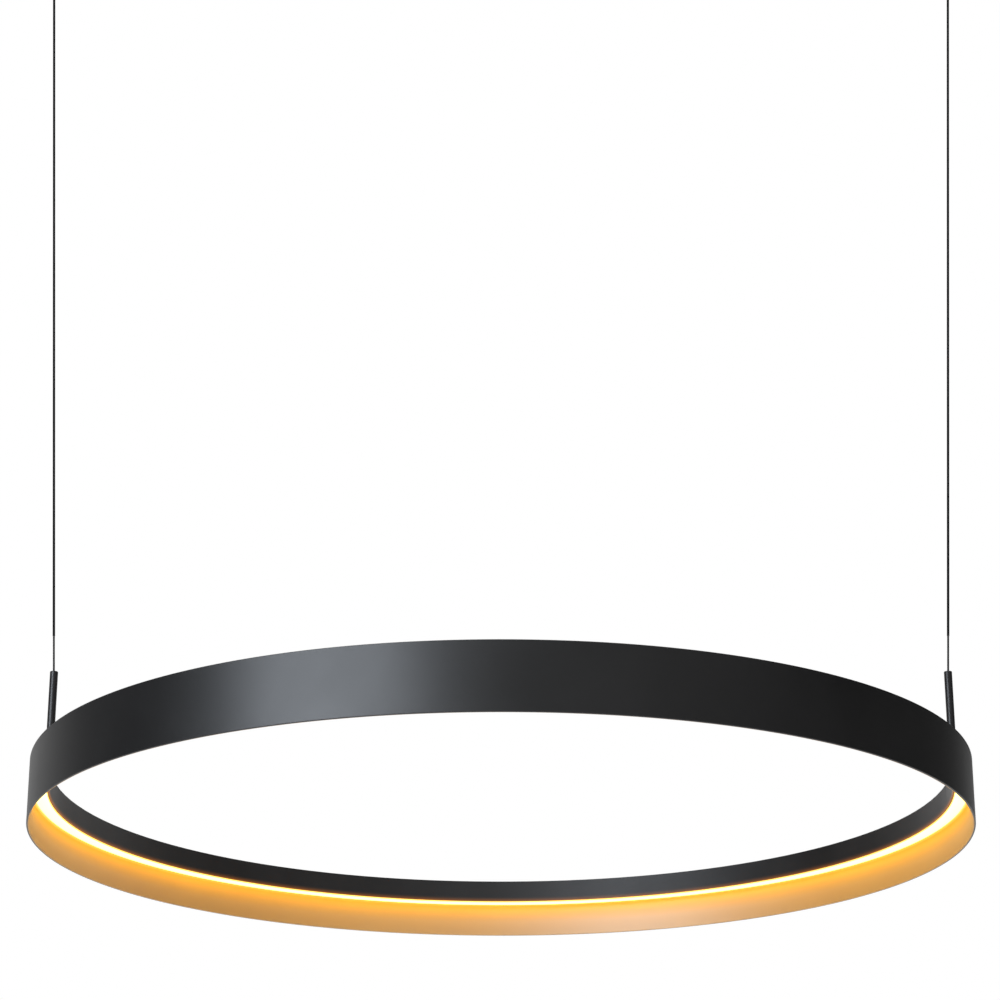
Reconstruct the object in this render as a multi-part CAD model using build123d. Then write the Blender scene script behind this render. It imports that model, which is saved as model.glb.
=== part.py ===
"""Ring pendant lamp on two wires, with its ceiling bar.

Millimetres, +Z up. The origin is the middle of the ceiling bracket's top face, where it meets the ceiling.
The two rods stand on the ring at +X and -X, and the ceiling bar runs along X.
"""
import math
import os

from build123d import *

# Ring
ring_diameter = 800.0
band_height = 54.0
band_wall = 2.0
band_edge_radius = 0.5
channel_width = 15.0
channel_height = 20.0
channel_recess = 2.5
channel_wall = 1.6
web_depth = 9.0
web_thickness = 1.6
cover_thickness = 1.2
cover_ledge = 1.0
clip_rib = 0.5
clip_rib_height = 0.8
clip_rib_above_foot = 3.2

# Light
strip_width = 8.0
strip_thickness = 0.4
strip_end_gap = 2.0
chip_count = 180
chip_length = 2.8
chip_width = 3.5
chip_height = 0.7
diffuser_plate = 1.4
diffuser_leg = 1.2
diffuser_hook = 1.4
diffuser_proud = 0.9
diffuser_crown = 0.7

# Fasteners of the ring
stud_count = 12
stud_diameter = 3.0
stud_length = 7.0
nut_across_flats = 5.5
nut_height = 2.4
standoff_count = 6
standoff_diameter = 5.0
spigot_diameter = 3.0
cover_screw_diameter = 2.5
cover_screw_head = 4.4
cover_screw_length = 6.0
socket_share = 0.6
socket_depth_share = 0.7

# Suspension blocks and rods
block_length = 36.0
block_side_gap = 0.6
rod_diameter = 7.0
rod_rise = 99.0
rod_chamfer = 0.4
rod_seat_depth = 4.2
block_screw_diameter = 3.0
block_screw_head = 5.2
block_screw_spacing = 26.0
block_screw_offset = 3.0
grub_diameter = 3.0
grub_length = 6.0
grub_socket_depth = 2.0
lead_diameter = 1.2
lead_bend = 1.05
lead_contact_grip = 1.5
lead_run = 27.0
lead_slot_gap = 0.3
lead_sleeve_length = 6.0
grommet_diameter = 3.0
grommet_flange = 4.6
grommet_flange_height = 0.6

# Wires
hang_drop = 840.0
wire_diameter = 2.2
core_diameter = 1.8
sheath_rise = 33.0
wire_spread = 38.0
ball_diameter = 4.4
ball_depth = 4.0
throat_diameter = 3.2
flare_angle = 22.0
stub_length = 3.0

# Ceiling bar
bar_width = 40.0
bar_height = 36.0
bar_wall = 1.5
bar_overhang = 26.0
bar_corner_radius = 1.2
ceiling_gap = 0.5
end_cap_thickness = 2.0
end_plug_depth = 6.0
bracket_thickness = 1.5
bracket_flange = 17.0
bracket_end_gap = 4.0
shelf_thickness = 3.0
shelf_length = 28.0
outer_slot_spacing = 680.0
inner_slot_spacing = 480.0
slot_length = 12.0
slot_width = 5.0
canopy_screw_spacing = 560.0
canopy_screw_diameter = 3.0
canopy_screw_head = 5.5
canopy_screw_head_height = 1.8
canopy_screw_depth = 10.0
pan_side_share = 0.6
pan_top_share = 0.7
screw_tip = 1.0

# Driver and connections
driver_length = 220.0
driver_width = 30.0
driver_height = 20.0
driver_corner_radius = 2.0
driver_ear = 12.0
driver_ear_width = 14.0
driver_ear_thickness = 3.0
driver_lid_thickness = 1.5
driver_lid_margin = 4.0
driver_screw_diameter = 3.0
driver_screw_head = 5.5
driver_screw_head_height = 2.0
terminal_gap = 10.0
terminal_length = 30.0
terminal_width = 16.0
terminal_height = 14.0
terminal_poles = 3
terminal_hole = 4.0
terminal_screw_diameter = 3.2
terminal_screw_depth = 3.0
terminal_screw_sunk = 0.5
terminal_slot_width = 0.7
terminal_slot_depth = 0.6
entry_gap = 12.0
entry_bore = 8.0
entry_wall = 2.0
entry_flange = 2.5
entry_flange_height = 2.0
earth_screw_diameter = 4.0
earth_screw_head = 7.0
earth_screw_head_height = 2.6
earth_screw_position = 150.0

# Wire grips
neck_diameter = 10.0
neck_bore = 3.0
neck_length = 19.0
neck_rise = 6.0
grip_nut_across_flats = 14.0
grip_nut_height = 4.0
grip_diameter = 12.5
grip_length = 30.0
grip_chamfer = 1.0
plunger_diameter = 6.2
plunger_proud = 6.0
plunger_length = 19.0
plunger_head = 8.0
plunger_head_height = 2.0
plunger_chamfer = 0.5
grip_cone_height = 11.0
grip_cone_rise = 0.7
grip_ball_diameter = 2.2
grip_ball_depth = 2.5
grip_ball_count = 3
spring_wire = 0.6
spring_diameter = 4.8
spring_turns = 4
tail_bend = 6.0
tail_turn = 18.0
tail_offset = 12.0
tail_depth = 5.0
clip_positions = (270.0, 370.0)
clip_width = 5.0
clip_length = 4.0

# Clearances
slip = 0.1
assembly_gap = 0.2
screw_gap = 0.05
pivot_gap = 0.3
cut_margin = 1.0

# Derived places of the ring
ring_radius = ring_diameter / 2
band_inner = ring_radius - band_wall
ring_top = -hang_drop
channel_inner = band_inner - channel_width
channel_outer = band_inner - assembly_gap
chamber_inner = channel_inner + channel_wall
chamber_outer = channel_outer - channel_wall
rod_circle = (channel_inner + band_inner) / 2
channel_top = ring_top - channel_recess
channel_foot = channel_top - channel_height
cover_under = channel_top - cover_thickness
ledge_under = cover_under - cover_ledge
web_top = channel_top - web_depth
web_under = web_top - web_thickness
rib_low = channel_foot + clip_rib_above_foot
rib_high = rib_low + clip_rib_height
stud_level = (ledge_under + web_top) / 2
rod_top = ring_top + rod_rise
rod_foot = ledge_under - rod_seat_depth
ball_level = rod_top - ball_depth

# Derived places of the ceiling bar
grip_x = rod_circle + wire_spread
bar_half = grip_x + bar_overhang
bracket_half = bar_half - end_plug_depth - bracket_end_gap
cover_inner_half = bar_width / 2 - bar_wall
bracket_half_width = cover_inner_half - assembly_gap
shelf_under = -bracket_flange - shelf_thickness
grip_foot = shelf_under - grip_length
mouth_level = grip_foot - plunger_proud
plunger_top = mouth_level + plunger_length
neck_top = -bracket_flange + neck_rise
neck_foot = neck_top - neck_length
plunger_bore = wire_diameter + 2 * pivot_gap


def turned(points, arc=360):
    """A solid of revolution about Z from (radius, height) points."""
    return revolve(Plane.XZ * make_face(Polyline(*points, close=True)), Axis.Z, arc)


def sleeve(outer, inner, low, high):
    """A plain ring or tube about Z."""
    return turned([(inner, low), (outer, low), (outer, high), (inner, high)])


def post(diameter, low, high):
    """A plain cylinder about Z."""
    return Pos(0, 0, low) * Cylinder(diameter / 2, high - low, align=(Align.CENTER, Align.CENTER, Align.MIN))


def hex_prism(across_flats, low, high):
    """A hexagonal bar about Z."""
    outline = RegularPolygon(across_flats / 2, 6, major_radius=False)
    return extrude(Pos(0, 0, low) * outline, high - low)


def around(count, start, solid):
    """Copies of a solid spread evenly about Z."""
    return [Rot(0, 0, start + 360 / count * i) * solid for i in range(count)]


def radial(solid, radius, level):
    """A solid made along Z, laid down so that its Z points outward along X."""
    return Pos(radius, 0, level) * Rot(0, 90, 0) * solid


def countersunk(diameter, head, top, length):
    """A countersunk screw with a hexagon socket, its head up."""
    shank = diameter / 2
    head_height = head / 2 - shank
    body = turned([
        (0, top),
        (head / 2, top),
        (shank, top - head_height),
        (shank, top - length),
        (0, top - length),
    ])
    socket_foot = top - head_height * socket_depth_share
    return body - hex_prism(diameter * socket_share, socket_foot, top + cut_margin)


def countersink(diameter, head, top, length, gap):
    """The space that a countersunk screw needs."""
    shank = diameter / 2 + gap
    head_radius = head / 2 + gap
    return turned([
        (0, top + gap),
        (head_radius + gap, top + gap),
        (shank, top + gap - (head_radius + gap - shank)),
        (shank, top - length - gap),
        (0, top - length - gap),
    ])


def pan_screw(diameter, head, head_height, seat, length):
    """A pan-head screw about Z: its head lies above the seat and its shank below."""
    body = turned([
        (0, seat - length),
        (diameter / 2, seat - length),
        (diameter / 2, seat),
        (head / 2, seat),
        (head / 2, seat + head_height * pan_side_share),
        (head / 2 * pan_top_share, seat + head_height),
        (0, seat + head_height),
    ])
    socket_foot = seat + head_height * (1 - socket_depth_share)
    return body - hex_prism(diameter * socket_share, socket_foot, seat + head_height + cut_margin)


def rounded_route(points, bend):
    """A path of straight runs joined by arcs of one bend radius."""
    stops = [Vector(*p) for p in points]
    edges = []
    start = stops[0]
    for before, corner, after in zip(stops, stops[1:], stops[2:]):
        back = (before - corner).normalized()
        ahead = (after - corner).normalized()
        half = math.radians(back.get_angle(ahead)) / 2
        run = bend / math.tan(half)
        centre = corner + (back + ahead).normalized() * (bend / math.sin(half))
        middle = centre + (corner - centre).normalized() * bend
        edges.append(Line(start, corner + back * run))
        edges.append(ThreePointArc(corner + back * run, middle, corner + ahead * run))
        start = corner + ahead * run
    edges.append(Line(start, stops[-1]))
    return Wire(edges)


def cable(points, bend, diameter):
    """A round cable along a route."""
    heading = Vector(*points[1]) - Vector(*points[0])
    section = Plane(origin=points[0], z_dir=heading) * Circle(diameter / 2)
    return sweep(section, path=rounded_route(points, bend))


def helix_edges(radius, low, high, turns):
    """A helix about Z as pairs of tangent arcs, four pairs to a turn."""
    steps = turns * 4
    rise = (high - low) / (2 * math.pi * turns)
    edges = []
    for i in range(steps):
        ends = []
        for k in (i, i + 1):
            angle = math.pi / 2 * k
            place = Vector(radius * math.cos(angle), radius * math.sin(angle), low + rise * angle)
            heading = Vector(-radius * math.sin(angle), radius * math.cos(angle), rise).normalized()
            ends.append((place, heading))
        (p0, t0), (p1, t1) = ends
        chord = p1 - p0
        both = t0 + t1
        turn = 2 * (1 - t0.dot(t1))
        reach = (math.sqrt(chord.dot(both) ** 2 + turn * chord.dot(chord)) - chord.dot(both)) / turn
        first = p0 + t0 * reach
        second = p1 - t1 * reach
        join = (first + second) * 0.5
        edges.append(TangentArc(p0, join, tangent=t0))
        edges.append(TangentArc(join, p1, tangent=second - first))
    return edges


def make_outer_band():
    """Rolled band with its four long edges rounded."""
    section = make_face(Polyline(
        (band_inner, ring_top),
        (ring_radius, ring_top),
        (ring_radius, ring_top - band_height),
        (band_inner, ring_top - band_height),
        close=True,
    ))
    rounded = fillet(section.vertices(), band_edge_radius)
    return revolve(Plane.XZ * rounded, Axis.Z)


def make_light_channel():
    """Rolled H-section: chamber, web for the strip, ledges for the cover, ribs for the diffuser."""
    body = turned([
        (channel_inner, channel_top),
        (chamber_inner, channel_top),
        (chamber_inner, cover_under),
        (chamber_inner + cover_ledge, cover_under),
        (chamber_inner + cover_ledge, ledge_under),
        (chamber_inner, ledge_under),
        (chamber_inner, web_top),
        (chamber_outer, web_top),
        (chamber_outer, ledge_under),
        (chamber_outer - cover_ledge, ledge_under),
        (chamber_outer - cover_ledge, cover_under),
        (chamber_outer, cover_under),
        (chamber_outer, channel_top),
        (channel_outer, channel_top),
        (channel_outer, channel_foot),
        (chamber_outer, channel_foot),
        (chamber_outer, rib_low),
        (chamber_outer - clip_rib, rib_low),
        (chamber_outer - clip_rib, rib_high),
        (chamber_outer, rib_high),
        (chamber_outer, web_under),
        (chamber_inner, web_under),
        (chamber_inner, rib_high),
        (chamber_inner + clip_rib, rib_high),
        (chamber_inner + clip_rib, rib_low),
        (chamber_inner, rib_low),
        (chamber_inner, channel_foot),
        (channel_inner, channel_foot),
    ])
    stud_cutter = Cylinder(stud_diameter / 2 + assembly_gap, 2 * (channel_wall + cut_margin))
    stud_hole = radial(stud_cutter, channel_outer, stud_level)
    spigot_hole = Pos(rod_circle, 0, 0) * post(
        spigot_diameter + 2 * screw_gap, web_under - cut_margin, web_top + cut_margin)
    cuts = around(stud_count, 180 / stud_count, stud_hole)
    cuts += around(standoff_count, 180 / standoff_count, spigot_hole)
    for turn in (0, 180):
        cuts += [Rot(0, 0, turn) * hole for hole in block_screw_places(block_screw_space())]
        cuts.append(Rot(0, 0, turn) * Pos(rod_circle, lead_run, 0)
                    * post(grommet_diameter + 2 * screw_gap, web_under - cut_margin, web_top + cut_margin))
    return body - cuts


def make_top_cover():
    """Flat ring on the channel's ledges, with holes for the rods and countersunk holes for its screws."""
    plate = sleeve(chamber_outer - slip, chamber_inner + slip, cover_under, channel_top)
    rod_hole = Pos(rod_circle, 0, 0) * post(
        rod_diameter + 2 * assembly_gap, cover_under - cut_margin, channel_top + cut_margin)
    screw_hole = Pos(rod_circle, 0, 0) * countersink(
        cover_screw_diameter, cover_screw_head, channel_top, cover_screw_length, screw_gap)
    return plate - around(2, 0, rod_hole) - around(standoff_count, 180 / standoff_count, screw_hole)


def make_cover_standoffs():
    """Pillars pressed into the web that carry the cover and take its screws."""
    pillar = post(standoff_diameter, web_top, cover_under) + post(spigot_diameter, web_under, web_top)
    thread_foot = channel_top - cover_screw_length - slip
    pillar -= post(cover_screw_diameter + 2 * screw_gap, thread_foot, cover_under + cut_margin)
    return around(standoff_count, 180 / standoff_count, Pos(rod_circle, 0, 0) * pillar)


def make_cover_screws():
    screw = countersunk(cover_screw_diameter, cover_screw_head, channel_top, cover_screw_length)
    return around(standoff_count, 180 / standoff_count, Pos(rod_circle, 0, 0) * screw)


def make_band_studs():
    """Studs welded to the inside of the band, pointing inward through the channel's outer wall."""
    root = math.sqrt(band_inner ** 2 - (stud_diameter / 2) ** 2)
    stud = radial(post(stud_diameter, -stud_length, 0), root, stud_level)
    return around(stud_count, 180 / stud_count, stud)


def make_band_nuts():
    """Nuts on the studs, drawn up against the channel's outer wall."""
    seat = math.sqrt(chamber_outer ** 2 - (nut_across_flats / math.sqrt(3)) ** 2)
    nut = hex_prism(nut_across_flats, -nut_height, 0) - post(
        stud_diameter + 2 * screw_gap, -nut_height - cut_margin, cut_margin)
    nut = Rot(0, 0, 30) * nut
    return around(stud_count, 180 / stud_count, radial(nut, seat, stud_level))


def make_led_strip():
    """Flexible strip on the underside of the web, with a short gap between its two ends."""
    gap_angle = math.degrees(strip_end_gap / rod_circle)
    strip = turned([
        (rod_circle - strip_width / 2, web_under - strip_thickness),
        (rod_circle + strip_width / 2, web_under - strip_thickness),
        (rod_circle + strip_width / 2, web_under),
        (rod_circle - strip_width / 2, web_under),
    ], 360 - gap_angle)
    return Rot(0, 0, 90 + gap_angle / 2) * strip


def make_led_chips():
    """Light sources in one row along the strip."""
    chip_level = web_under - strip_thickness - chip_height / 2
    chip = Pos(rod_circle, 0, chip_level) * Box(chip_width, chip_length, chip_height)
    return around(chip_count, 180 / chip_count, chip)


def make_diffuser():
    """Opal ring: a crowned plate with two legs whose hooks catch above the channel's clip ribs."""
    low = channel_foot - diffuser_proud
    top = rib_high + slip + diffuser_hook
    inner = chamber_inner + slip
    outer = chamber_outer - slip
    notch = clip_rib + slip
    plate_top = low + diffuser_plate + diffuser_crown
    crown = ThreePointArc(
        (inner, low),
        ((inner + outer) / 2, low - diffuser_crown),
        (outer, low),
    )
    sides = Polyline(
        (outer, low),
        (outer, rib_low - slip),
        (outer - notch, rib_low - slip),
        (outer - notch, rib_high + slip),
        (outer, rib_high + slip),
        (outer - diffuser_leg / 2, top),
        (outer - diffuser_leg, top),
        (outer - diffuser_leg, plate_top),
        (inner + diffuser_leg, plate_top),
        (inner + diffuser_leg, top),
        (inner + diffuser_leg / 2, top),
        (inner, rib_high + slip),
        (inner + notch, rib_high + slip),
        (inner + notch, rib_low - slip),
        (inner, rib_low - slip),
        (inner, low),
    )
    return revolve(Plane.XZ * make_face([crown, *sides.edges()]), Axis.Z)


def block_screw_places(solid):
    """Copies of a solid at a block's two screw holes, which lie to one side of the lead's slot."""
    angle = math.degrees(block_screw_spacing / 2 / rod_circle)
    place = Pos(rod_circle - block_screw_offset, 0, 0) * solid
    return [Rot(0, 0, turn) * place for turn in (angle, -angle)]


def block_screw_length():
    """Length of a block screw, from the web's underside to just below the block's top."""
    return web_thickness + ledge_under - web_top - screw_tip


def block_screw_space():
    """The space that one block screw needs, its head down."""
    space = countersink(block_screw_diameter, block_screw_head, -web_under, block_screw_length(), screw_gap)
    return Rot(180, 0, 0) * space


def make_block_screws():
    """Countersunk screws that come up through the web into the blocks, flush under the light strip."""
    screw = countersunk(block_screw_diameter, block_screw_head, -web_under, block_screw_length())
    places = block_screw_places(Rot(180, 0, 0) * screw)
    return places + [Rot(0, 0, 180) * place for place in places]


def make_suspension_block():
    """Block on the web at +X: bore and seat for the rod, grub-screw hole, lead slot and screw holes."""
    half_angle = math.degrees(block_length / 2 / rod_circle)
    body = turned([
        (chamber_inner + block_side_gap, web_top),
        (chamber_outer - block_side_gap, web_top),
        (chamber_outer - block_side_gap, ledge_under - slip),
        (chamber_inner + block_side_gap, ledge_under - slip),
    ], 2 * half_angle)
    body = Rot(0, 0, -half_angle) * body
    seat = post(rod_diameter + 2 * slip, rod_foot, ledge_under + cut_margin)
    passage = post(rod_bore() + 2 * slip, web_top - cut_margin, rod_foot + cut_margin)
    slot_height = rod_foot - web_top
    slot = Pos(0, block_length / 2, web_top + slot_height / 2) * Box(
        lead_diameter + 2 * lead_slot_gap, block_length, slot_height)
    grub_hole = Pos(0, -block_length / 2, grub_level()) * Rot(90, 0, 0) * Cylinder(
        grub_diameter / 2 + screw_gap, block_length)
    cuts = [Pos(rod_circle, 0, 0) * cut for cut in (seat, passage, slot, grub_hole)]
    return body - cuts - block_screw_places(block_screw_space())


def rod_bore():
    """Bore of the rod, which lets the ball end pass up to its seat."""
    return ball_diameter + 4 * screw_gap


def grub_level():
    """Height of the grub screw's axis, in the middle of the rod's seat."""
    return (rod_foot + ledge_under) / 2


def make_rod_grub_screws():
    """Grub screws that clamp the rods in their blocks."""
    screw = post(grub_diameter, 0, grub_length) - hex_prism(
        grub_diameter / 2, grub_length - grub_socket_depth, grub_length + cut_margin)
    screw = Pos(rod_circle, -rod_diameter / 2 - screw_gap, grub_level()) * Rot(90, 0, 0) * screw
    return around(2, 0, screw)


def make_suspension_rod():
    """Hollow rod at +X with a spherical seat for the ball end and a flared mouth for the wire."""
    seat = ball_diameter / 2 + screw_gap
    bore = rod_bore() / 2
    throat = throat_diameter / 2
    throat_level = ball_level + math.sqrt(seat ** 2 - throat ** 2)
    mouth = throat + (rod_top - throat_level) * math.tan(math.radians(flare_angle))
    half_way = math.atan2(throat_level - ball_level, throat) / 2
    seat_arc = ThreePointArc(
        (throat, throat_level),
        (seat * math.cos(half_way), ball_level + seat * math.sin(half_way)),
        (seat, ball_level),
    )
    outline = Polyline(
        (seat, ball_level),
        (bore, ball_level),
        (bore, rod_foot),
        (rod_diameter / 2, rod_foot),
        (rod_diameter / 2, rod_top - rod_chamfer),
        (rod_diameter / 2 - rod_chamfer, rod_top),
        (mouth, rod_top),
        (throat, throat_level),
    )
    rod = revolve(Plane.XZ * make_face([seat_arc, *outline.edges()]), Axis.Z)
    return Pos(rod_circle, 0, 0) * rod


def make_feed_lead():
    """Contact sleeve in the foot of the rod at +X, with the lead that runs on to the light strip."""
    run_level = (web_top + rod_foot) / 2
    contact = Pos(rod_circle, 0, 0) * post(
        rod_bore() - 2 * screw_gap, rod_foot, rod_foot + lead_sleeve_length)
    route = [
        (rod_circle, 0, rod_foot + lead_contact_grip),
        (rod_circle, 0, run_level),
        (rod_circle, lead_run, run_level),
        (rod_circle, lead_run, web_under),
    ]
    return contact + cable(route, lead_bend, lead_diameter)


def make_lead_grommets():
    """Sleeves that guard the leads where they pass the web."""
    flange_top = web_top + grommet_flange_height
    grommet = turned([
        (lead_diameter / 2 + slip, web_under),
        (grommet_diameter / 2, web_under),
        (grommet_diameter / 2, web_top),
        (grommet_flange / 2, web_top),
        (grommet_flange / 2, flange_top),
        (lead_diameter / 2 + slip, flange_top),
    ])
    return around(2, 0, Pos(rod_circle, lead_run, 0) * grommet)


def wire_frame():
    """A plane at the right grip's mouth whose Z runs down the wire to the ball end, and that distance."""
    mouth = Vector(grip_x, 0, mouth_level)
    ball = Vector(rod_circle, 0, ball_level)
    return Plane(origin=mouth, z_dir=ball - mouth), (ball - mouth).length


def make_suspension_wire():
    """The sheathed wire at +X, round at its top in the grip's mouth and bare at its lower end."""
    frame, span = wire_frame()
    radius = wire_diameter / 2
    core = core_diameter / 2
    sheath = span - ball_depth - sheath_rise
    length = span - stub_length - pivot_gap
    outline = make_face([
        Line((0, -radius), (0, length)),
        Line((0, length), (core, length)),
        Line((core, length), (core, sheath)),
        Line((core, sheath), (radius, sheath)),
        Line((radius, sheath), (radius, 0)),
        ThreePointArc((radius, 0), (radius * math.sqrt(0.5), -radius * math.sqrt(0.5)), (0, -radius)),
    ])
    return frame * revolve(Plane.XZ * outline, Axis.Z)


def make_wire_ball():
    """Ball swaged on the wire's lower end at +X, with the stub of wire that enters it."""
    frame, span = wire_frame()
    stub = post(core_diameter, span - stub_length, span)
    return frame * (Pos(0, 0, span) * Sphere(ball_diameter / 2) + stub)


def make_ceiling_bracket():
    """Inverted channel with welded shelves for the grips and every hole of the ceiling bar."""
    half = bracket_half_width
    section = make_face(Polyline(
        (-half, 0),
        (half, 0),
        (half, -bracket_flange),
        (half - bracket_thickness, -bracket_flange),
        (half - bracket_thickness, -bracket_thickness),
        (bracket_thickness - half, -bracket_thickness),
        (bracket_thickness - half, -bracket_flange),
        (-half, -bracket_flange),
        close=True,
    ))
    body = Pos(-bracket_half, 0, 0) * extrude(Plane.YZ * section, 2 * bracket_half)
    shelf = Box(shelf_length, 2 * half, shelf_thickness, align=(Align.CENTER, Align.CENTER, Align.MIN))
    for side in (-1, 1):
        body += Pos(side * grip_x, 0, shelf_under) * shelf
    plate_low = -bracket_thickness - cut_margin
    plate_high = cut_margin
    cuts = []
    for x in (grip_x, -grip_x):
        cuts.append(Pos(x, 0, 0) * post(
            neck_diameter + 2 * slip, shelf_under - cut_margin, -bracket_flange + cut_margin))
    slot = Pos(0, 0, plate_low) * SlotOverall(slot_length, slot_width)
    slot = extrude(slot, plate_high - plate_low)
    for spacing in (outer_slot_spacing, inner_slot_spacing):
        cuts += [Pos(x, 0, 0) * slot for x in (spacing / 2, -spacing / 2)]
    for x in (canopy_screw_spacing / 2, -canopy_screw_spacing / 2):
        cuts.append(Pos(x, 0, -canopy_screw_depth) * Rot(90, 0, 0)
                    * Cylinder(canopy_screw_diameter / 2 + screw_gap, 2 * bar_width))
    for x in (driver_screw_x(), -driver_screw_x()):
        cuts.append(Pos(x, 0, 0) * post(driver_screw_diameter + 2 * screw_gap, plate_low, plate_high))
    cuts.append(Pos(entry_x(), 0, 0) * post(entry_bore + 2 * entry_wall + 2 * slip, plate_low, plate_high))
    cuts.append(Pos(-earth_screw_position, 0, 0)
                * post(earth_screw_diameter + 2 * screw_gap, plate_low, plate_high))
    return body - cuts


def bar_outline():
    """Closed outline of the ceiling bar across its length, with rounded lower edges."""
    half = bar_width / 2
    outline = make_face(Polyline(
        (-half, -ceiling_gap),
        (half, -ceiling_gap),
        (half, -bar_height),
        (-half, -bar_height),
        close=True,
    ))
    lower = outline.vertices().sort_by(Axis.Y)[:2]
    return fillet(lower, bar_corner_radius)


def make_canopy_cover():
    """Long cover, open at the top, with holes for the grips and the side screws."""
    hollow = Pos(0, (bar_wall - bar_height) / 2) * Rectangle(2 * cover_inner_half, bar_height - bar_wall)
    section = bar_outline() - hollow
    body = Pos(-bar_half, 0, 0) * extrude(Plane.YZ * section, 2 * bar_half)
    cuts = []
    for x in (grip_x, -grip_x):
        cuts.append(Pos(x, 0, 0) * post(
            grip_diameter + 2 * assembly_gap, -bar_height - cut_margin, bar_wall + cut_margin - bar_height))
    for x in (canopy_screw_spacing / 2, -canopy_screw_spacing / 2):
        cuts.append(Pos(x, 0, -canopy_screw_depth) * Rot(90, 0, 0)
                    * Cylinder(canopy_screw_diameter / 2 + slip, 2 * bar_width))
    return body - cuts


def make_end_cap():
    """Cap for the bar's end at +X, with a plug that fits inside the cover."""
    plate = Pos(bar_half, 0, 0) * extrude(Plane.YZ * bar_outline(), end_cap_thickness)
    plug_width = 2 * (cover_inner_half - slip)
    plug_height = bar_height - ceiling_gap - bar_wall - slip
    plug = Pos(bar_half, 0, -ceiling_gap) * Box(
        end_plug_depth, plug_width, plug_height, align=(Align.MAX, Align.CENTER, Align.MAX))
    hollow = Pos(bar_half, 0, -ceiling_gap - bar_wall) * Box(
        end_plug_depth + cut_margin, plug_width - 2 * bar_wall, plug_height - 2 * bar_wall,
        align=(Align.MAX, Align.CENTER, Align.MAX))
    return plate + (plug - hollow)


def make_canopy_screws():
    """Four screws that hold the cover's sides to the bracket's flanges."""
    screw = pan_screw(canopy_screw_diameter, canopy_screw_head, canopy_screw_head_height,
                      bar_width / 2, bar_wall + assembly_gap + bracket_thickness + screw_tip)
    screws = []
    for x in (canopy_screw_spacing / 2, -canopy_screw_spacing / 2):
        for turn in (-90, 90):
            screws.append(Pos(x, 0, -canopy_screw_depth) * Rot(turn, 0, 0) * screw)
    return screws


def driver_screw_x():
    """Distance of the driver's two screws from the middle."""
    return driver_length / 2 + driver_ear / 2


def make_driver_case():
    """Driver body under the bracket's plate, with an ear at each end and a recess for its lid."""
    top = -bracket_thickness
    body = Pos(0, 0, top) * Box(
        driver_length, driver_width, driver_height, align=(Align.CENTER, Align.CENTER, Align.MAX))
    body = fillet(body.edges().filter_by(Axis.Z), driver_corner_radius)
    ears = Pos(0, 0, top) * Box(
        driver_length + 2 * driver_ear, driver_ear_width, driver_ear_thickness,
        align=(Align.CENTER, Align.CENTER, Align.MAX))
    recess = Pos(0, 0, top - driver_height) * Box(
        driver_length - 2 * driver_lid_margin + 2 * slip, driver_width - 2 * driver_lid_margin + 2 * slip,
        driver_lid_thickness, align=(Align.CENTER, Align.CENTER, Align.MIN))
    cuts = [recess]
    for x in (driver_screw_x(), -driver_screw_x()):
        cuts.append(Pos(x, 0, 0) * post(
            driver_screw_diameter + 2 * slip, top - driver_ear_thickness - cut_margin, top + cut_margin))
    return body + ears - cuts


def make_driver_lid():
    """Lid set flush into the driver's underside."""
    return Pos(0, 0, -bracket_thickness - driver_height) * Box(
        driver_length - 2 * driver_lid_margin, driver_width - 2 * driver_lid_margin, driver_lid_thickness,
        align=(Align.CENTER, Align.CENTER, Align.MIN))


def make_driver_screws():
    """Screws that come up through the driver's ears into the bracket."""
    seat = bracket_thickness + driver_ear_thickness
    screw = Rot(180, 0, 0) * pan_screw(driver_screw_diameter, driver_screw_head, driver_screw_head_height,
                                       seat, seat - slip)
    return [Pos(x, 0, 0) * screw for x in (driver_screw_x(), -driver_screw_x())]


def terminal_x():
    """Middle of the terminal block, beyond the driver's end at +X."""
    return driver_length / 2 + driver_ear + terminal_gap + terminal_length / 2


def terminal_places():
    """Middle of each pole of the terminal block."""
    pitch = terminal_length / terminal_poles
    return [terminal_x() + pitch * (i - (terminal_poles - 1) / 2) for i in range(terminal_poles)]


def make_terminal_block():
    """Supply terminals: one wire hole right through for each pole, and a screw hole at each end of it."""
    top = -bracket_thickness
    body = Pos(terminal_x(), 0, top) * Box(
        terminal_length, terminal_width, terminal_height, align=(Align.CENTER, Align.CENTER, Align.MAX))
    cuts = []
    for x in terminal_places():
        cuts.append(Pos(x, 0, top - terminal_height / 2) * Rot(90, 0, 0)
                    * Cylinder(terminal_hole / 2, terminal_width + 2 * cut_margin))
        for y in (terminal_width / 4, -terminal_width / 4):
            cuts.append(Pos(x, y, 0) * post(terminal_screw_diameter + 2 * screw_gap,
                                            top - terminal_height - cut_margin, top - terminal_height / 2))
    return body - cuts


def make_terminal_screws():
    """Clamping screws of the terminal block, slightly sunk."""
    low = -bracket_thickness - terminal_height + terminal_screw_sunk
    screws = []
    for x in terminal_places():
        for y in (terminal_width / 4, -terminal_width / 4):
            slot = Pos(x, y, low) * Box(
                terminal_screw_diameter + cut_margin, terminal_slot_width, 2 * terminal_slot_depth)
            screw = post(terminal_screw_diameter, low, low + terminal_screw_depth)
            screws.append(Pos(x, y, 0) * screw - slot)
    return screws


def entry_x():
    """Middle of the supply cable's entry, beyond the terminal block."""
    return terminal_x() + terminal_length / 2 + entry_gap


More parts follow.
